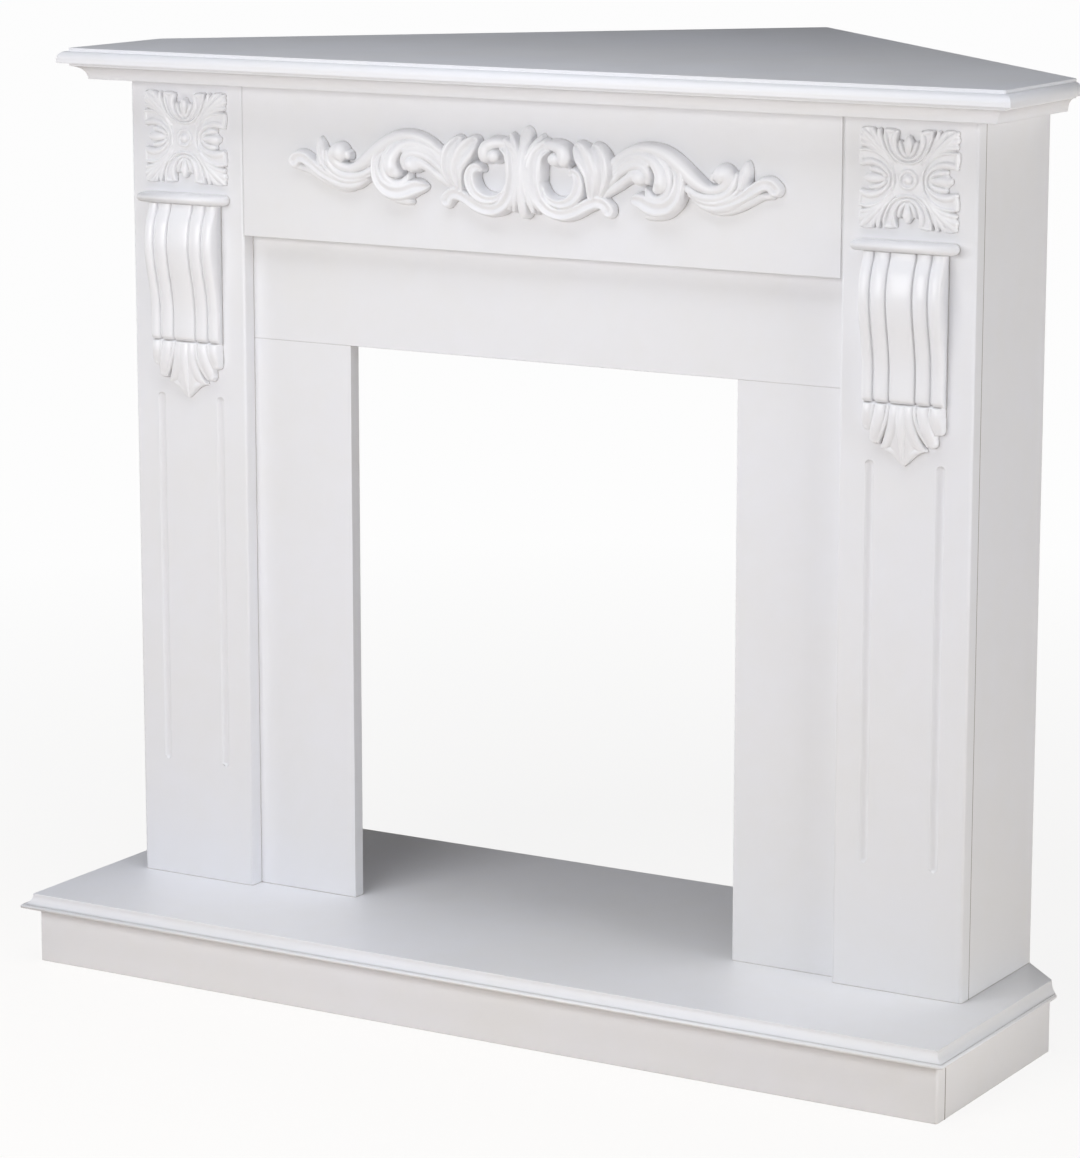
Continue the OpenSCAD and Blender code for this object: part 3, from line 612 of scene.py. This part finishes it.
ROSETTE = [
    # boss and its ring
    [[0, 0, 4.6, 7.4], [0.5, 0, 4.6, 7.4]],
    [[-3.4, 8.1, 1.5, 5.8], [0, 8.8, 1.5, 5.8], [3.4, 8.1, 1.5, 5.8], [6.2, 6.2, 1.5, 5.8],
     [8.1, 3.4, 1.5, 5.8], [8.8, 0, 1.5, 5.8], [8.1, -3.4, 1.5, 5.8]],
    # raised rims round the flank and crown groups
    [[15.2, 0, 1, 6.2], [16.2, 7, 1, 6.2], [19.4, 13.6, 1, 6.2], [25, 20.2, 1.1, 6.4],
     [33.5, 25.4, 1.3, 6.4], [43, 27.6, 1.4, 6.2], [52, 27, 1.2, 5.4]],
    [[0, 15.8, 1, 6.2], [7.6, 17, 1, 6.2], [14.2, 20.8, 1, 6.2], [19.6, 27, 1.1, 6.4],
     [23, 35, 1.3, 6.4], [25, 42, 1.4, 6.2], [25.6, 47.4, 1.2, 5.4]],
    # scooped flank and crown leaves: the inner lip and the curled end
    [[19.4, 0, 1.2, 5.6], [20.8, 5.6, 1.4, 6], [25.4, 10.8, 1.9, 6.6], [32, 14.8, 2.4, 7],
     [40, 16.4, 3.2, 7], [47, 15.4, 3, 6.6], [51, 13.4, 1.8, 5.4]],
    [[50.4, 14, 1.8, 5], [51.4, 20, 2.2, 5], [51.8, 26, 1.6, 4.7]],
    [[0, 19.2, 1.2, 5.6], [5.6, 20.6, 1.4, 6], [10.6, 24.6, 1.9, 6.6], [14.2, 30.6, 2.4, 7],
     [15.6, 37, 3, 7], [14.9, 43, 2.6, 6.4], [13.4, 46, 1.6, 5.4]],
    [[14, 45.6, 1.8, 5], [19, 46.6, 2.2, 5], [24.6, 47, 1.6, 4.7]],
    # flank and crown buds with the lobes beside them
    [[26, 0, 2.4, 5.4], [32, 0, 4, 7.4], [39, 0, 4.8, 7.8], [43.6, 0, 3.6, 6.8]],
    [[24, 2.8, 1.6, 5.2], [28, 6.2, 2.1, 6.2], [34, 8.2, 2.5, 6.4], [40, 9, 2.2, 5.4]],
    [[0, 25, 2.4, 5.4], [0, 30.4, 3.8, 7.4], [0, 36, 4.4, 7.6], [0, 39.4, 3.2, 6.8]],
    [[2.8, 23.2, 1.6, 5.2], [6, 27, 2, 6.2], [7.8, 31.8, 2.3, 6.2], [9.2, 36, 1.9, 5.2]],
    # corner fan: a narrow lobe on each side of the folded leaf
    [[17, 13, 1.2, 5], [22.4, 19.6, 1.6, 6], [30, 26.6, 2.1, 6.4], [40, 31.6, 2.7, 6.4],
     [50, 33.4, 2.4, 5.4]],
    [[13.6, 16.2, 1.2, 5], [20.4, 22.8, 1.6, 6], [26.4, 30.4, 2.1, 6.4], [30.4, 39.4, 2.6, 6.4],
     [32, 46.8, 2.2, 5.4]],
    [[20, 16.4, 1.2, 5], [30, 26, 1.8, 5.8], [41, 35, 2.8, 6], [49, 39.4, 3.6, 5.6],
     [51, 40.6, 2.6, 5]],
    [[17, 16, 1.6, 5], [29, 28, 2.4, 6.6], [41, 39, 3, 6.8], [50.6, 46.8, 2.2, 5]],
    [[17, 19, 1.2, 5], [26.6, 29.6, 1.8, 5.8], [34.4, 39.4, 2.8, 6], [38.6, 45.2, 3.4, 5.6],
     [39.4, 46.8, 2.4, 5]],
]


def carve_rosette(side):
    relief = Relief(ROSETTE_HALF_X, -ROSETTE_HALF_Z, ROSETTE_HALF_Z, ORNAMENT_STEP)
    for stations in ROSETTE_BEDS:
        relief.ridge(stations, crown=BED_CROWN)
    for stations in ROSETTE:
        relief.ridge(stations)
    relief.mirror_x()
    relief.mirror_z()
    relief.soften(ORNAMENT_SOFT)
    node = "rosette_" + side
    low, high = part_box(node)
    middle = ((low.x + high.x) / 2, (low.z + high.z) / 2)
    place_ornament(make_mesh("carved_" + node, [relief.shell()], middle, high.y), node)


# Corbel: five ribs over a hanging leaf, in millimetres from the foot of the ribs. Their profile
# is [z, height]. RIBS holds the middle rib and those right of it, which are mirrored to the left,
# each as [middle, half width, fall to its edge].
RIB_PROFILE = [[-0.4, 7.4], [0.6, 9.6], [2.6, 11.6], [6, 12.5], [35, 12.5], [60, 16], [83, 21],
               [106, 23.5], [128, 20.5], [143, 14.5], [150, 13]]
RIBS = [[0, 13.2, 2], [22.6, 7.6, 3.2], [38.4, 5.8, 3.4]]
RIB_GROOVE = 4
GROOVE_HALF = 0.2
ARC_STEPS = 12
CORBEL_HALF_X = 47
LEAF_LOW = 63
LEAF_WALL_SLOPE = 8
# The leaves rise in a round lobe out of the gap under the ribs: how far below their foot the gap
# ends, its height, the lobe's length and rise, and where the leaves end behind the ribs
GAP_LOW, GAP_HEIGHT, LOBE_LENGTH, LOBE_RISE, LEAF_HIGH = 0.5, 7.6, 5.0, 9, 1.2
LEAF_BEDS = [
    [[0, 4, 15, 9], [0, -18, 14, 9.4], [0, -34, 15, 7.4], [0, -42, 11, 6.6], [0, -50, 6, 5.4]],
    [[30, 4, 12, 8.6], [30, -14, 12, 8.6], [29, -24, 9, 7.4]],
    [[20, 4, 9, 9], [22, -16, 9, 8.6], [27, -30, 7, 6.6]],
]
LEAF = [
    # vein of the middle leaf, its flaring wings and its tip
    [[0, 4, 4.4, 11.6], [0, -12, 5.4, 13.8], [0, -26, 4.4, 13.8], [0, -40, 2.8, 11.6],
     [0, -52, 1.8, 8.6], [0, -61, 1, 5.4]],
    [[7.6, 4, 5.4, 10.4], [8, -10, 5.6, 12.6], [9.6, -22, 6, 12.2], [12.6, -32, 6.4, 10.8],
     [17, -39.6, 5, 8.8], [21, -43.6, 2.8, 7], [24.4, -45.8, 0.9, 5.4]],
    [[5, -26, 8, 11], [6.5, -37, 9, 9.4], [5.6, -45, 7.4, 8], [3, -52.5, 5, 6.6],
     [1, -58, 2.8, 5.4], [0, -61.6, 1, 4.4]],
    [[22, -45, 1.4, 5.8], [15, -46.4, 3, 7.2], [9, -49.6, 3.6, 7.2], [4.4, -54.6, 3.4, 6.2],
     [1, -59.4, 2, 5]],
    # side lobe and outer lobe, each with a fillet on its inner side
    [[22.8, 4, 6.2, 11], [23.4, -8, 6.4, 13], [26, -20, 6.4, 12.8], [29.6, -30, 5.8, 11],
     [31.8, -37, 4.8, 8.6]],
    [[14.6, 4, 1.5, 10.8], [15.2, -10, 1.6, 12.2], [18, -21, 1.8, 11.8], [22.8, -32, 1.8, 9.8],
     [27.2, -40, 1.4, 7.4]],
    [[37.6, 4, 5, 10.8], [37.8, -8, 5.2, 12.8], [38.6, -17, 5.2, 11.6], [39.4, -24, 4.4, 9.4]],
    [[30.8, 4, 1.3, 10.4], [31.4, -8, 1.4, 11.8], [33.6, -18, 1.5, 11], [36.6, -27, 1.2, 8.6]],
]


def rib_section():
    """The ribs' cross-section as [x, drop below the profile], None at the wall's foot."""
    right = []
    for middle, half, crown in RIBS:
        turn = [math.pi * k / ARC_STEPS for k in range(ARC_STEPS + 1)]
        arc = [(middle - half * math.cos(a), crown * (1 - math.sin(a))) for a in turn]
        right += [point for point in arc if point[0] > 0]
        right.append((middle + half + GROOVE_HALF, RIB_GROOVE))
    edge = RIBS[-1][0] + RIBS[-1][1]
    right[-1] = (edge, None)
    starts = [(middle - half - GROOVE_HALF, RIB_GROOVE) for middle, half, _ in RIBS[1:]]
    right = sorted(right[:-1] + starts) + [right[-1]]
    return [(-x, drop) for x, drop in reversed(right)] + [(0.0, 0.0)] + right


def carve_corbel(side):
    node = "corbel_" + side
    low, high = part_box(node)
    relief = Relief(CORBEL_HALF_X, -LEAF_LOW - 1, 2, ORNAMENT_STEP, LEAF_WALL_SLOPE)
    for stations in LEAF_BEDS:
        relief.ridge(stations, crown=BED_CROWN)
    for stations in LEAF:
        relief.ridge(stations, crown=LEAF_CROWN)
    rise = ((-GAP_LOW - relief.z) / LOBE_LENGTH).clip(0, 1)
    lid = GAP_HEIGHT + LOBE_RISE * np.sqrt(1 - (1 - rise) ** 2)
    lid[relief.z > LEAF_HIGH] = DEEP
    relief.height = np.minimum(relief.height, lid[:, None])
    relief.mirror_x()
    relief.soften(ORNAMENT_SOFT)
    ribs = swept_shell(rib_section(), RIB_PROFILE)
    middle = ((low.x + high.x) / 2, low.z + LEAF_LOW * MM)
    place_ornament(make_mesh("carved_" + node, [relief.shell(), ribs], middle, high.y), node)


for side in ("left", "right"):
    carve_rosette(side)
    carve_corbel(side)

# ---------- stage, light and camera ----------

# Share of plain white in what the camera sees of the floor, near the object and far from it
WHITE_NEAR, WHITE_FAR = 0.88, 0.98
NEAR_REACH, FAR_REACH = 0.6, 2.4
FLOOR_SIZE = 40
AMBIENT = 0.05
# Soft boxes: name, place, aim, width, height, watts, colour
LAMPS = [
    ("right_light", (3.2, -0.6, 0.9), (0, -0.25, 0.45), 1.6, 1.6, 44, (1, 1, 1)),
    ("left_light", (-3.2, -0.9, 0.9), (0, -0.25, 0.45), 1.6, 1.6, 16, (1, 1, 1)),
    ("front_light", (-0.25, -2.2, 1.15), (0, -0.25, 0.3), 1.6, 0.8, 24, (0.99, 0.99, 1)),
    ("top_light", (0, -0.9, 2.3), (0, -0.4, 0), 2.0, 1.0, 19, (0.93, 0.95, 1)),
    ("rear_light", (0.5, 3.2, 0.6), (0, 0, 0.5), 2.0, 1.0, 9, (1, 0.94, 0.88)),
]


def camera_white(paint):
    """Mixes plain white into what the camera sees of the floor, more of it away from the object."""
    away = paint.node("ShaderNodeVectorMath", {0: paint.place()}, operation="LENGTH")
    amount = paint.spread(away.outputs["Value"], NEAR_REACH, FAR_REACH, WHITE_NEAR, WHITE_FAR)
    seen = paint.node("ShaderNodeLightPath").outputs["Is Camera Ray"]
    share = paint.node("ShaderNodeMath", {0: seen, 1: amount}, operation="MULTIPLY").outputs[0]
    glow = paint.node("ShaderNodeEmission").outputs[0]
    mix = paint.node("ShaderNodeMixShader", {0: share, 1: paint.bsdf.outputs[0], 2: glow})
    paint.put(paint.tree.nodes["Material Output"].inputs["Surface"], mix.outputs[0])


def make_stage():
    bpy.ops.mesh.primitive_plane_add(size=FLOOR_SIZE, location=(0, 0, 0))
    floor = bpy.context.object
    floor.name = "floor"
    paint = Shader("floor_paper")
    tone = paint.blend(paint.noise(0.8), linear(238, 228, 216), linear(243, 233, 222))
    paint.finish(Base_Color=tone, Roughness=0.9)
    camera_white(paint)
    floor.data.materials.append(paint.material)


def make_world():
    """A white world to the camera, and a faint one to the object."""
    world = bpy.data.worlds.new("studio")
    bpy.context.scene.world = world
    world.use_nodes = True
    tree = world.node_tree
    back = tree.nodes["Background"]
    back.inputs["Color"].default_value = (1, 1, 1, 1)
    path = tree.nodes.new("ShaderNodeLightPath")
    strength = tree.nodes.new("ShaderNodeMapRange")
    strength.inputs["To Min"].default_value = AMBIENT
    strength.inputs["To Max"].default_value = 1.0
    tree.links.new(path.outputs["Is Camera Ray"], strength.inputs["Value"])
    tree.links.new(strength.outputs[0], back.inputs["Strength"])


def softbox(name, place, aim, width, height, power, colour):
    light = bpy.data.lights.new(name, "AREA")
    light.shape = "RECTANGLE"
    light.size, light.size_y, light.energy = width, height, power
    light.color = colour
    obj = bpy.data.objects.new(name, light)
    obj.location = place
    obj.rotation_euler = (Vector(aim) - Vector(place)).to_track_quat("-Z", "Y").to_euler()
    bpy.context.scene.collection.objects.link(obj)


def make_camera():
    data = bpy.data.cameras.new("camera")
    data.lens = CAMERA_LENS
    camera = bpy.data.objects.new("camera", data)
    camera.location = CAMERA_PLACE
    camera.rotation_euler = Euler([math.radians(a) for a in CAMERA_TURN])
    bpy.context.scene.collection.objects.link(camera)
    bpy.context.scene.camera = camera


make_stage()
make_world()
for lamp in LAMPS:
    softbox(*lamp)
make_camera()
bpy.context.scene.view_settings.view_transform = "Standard"
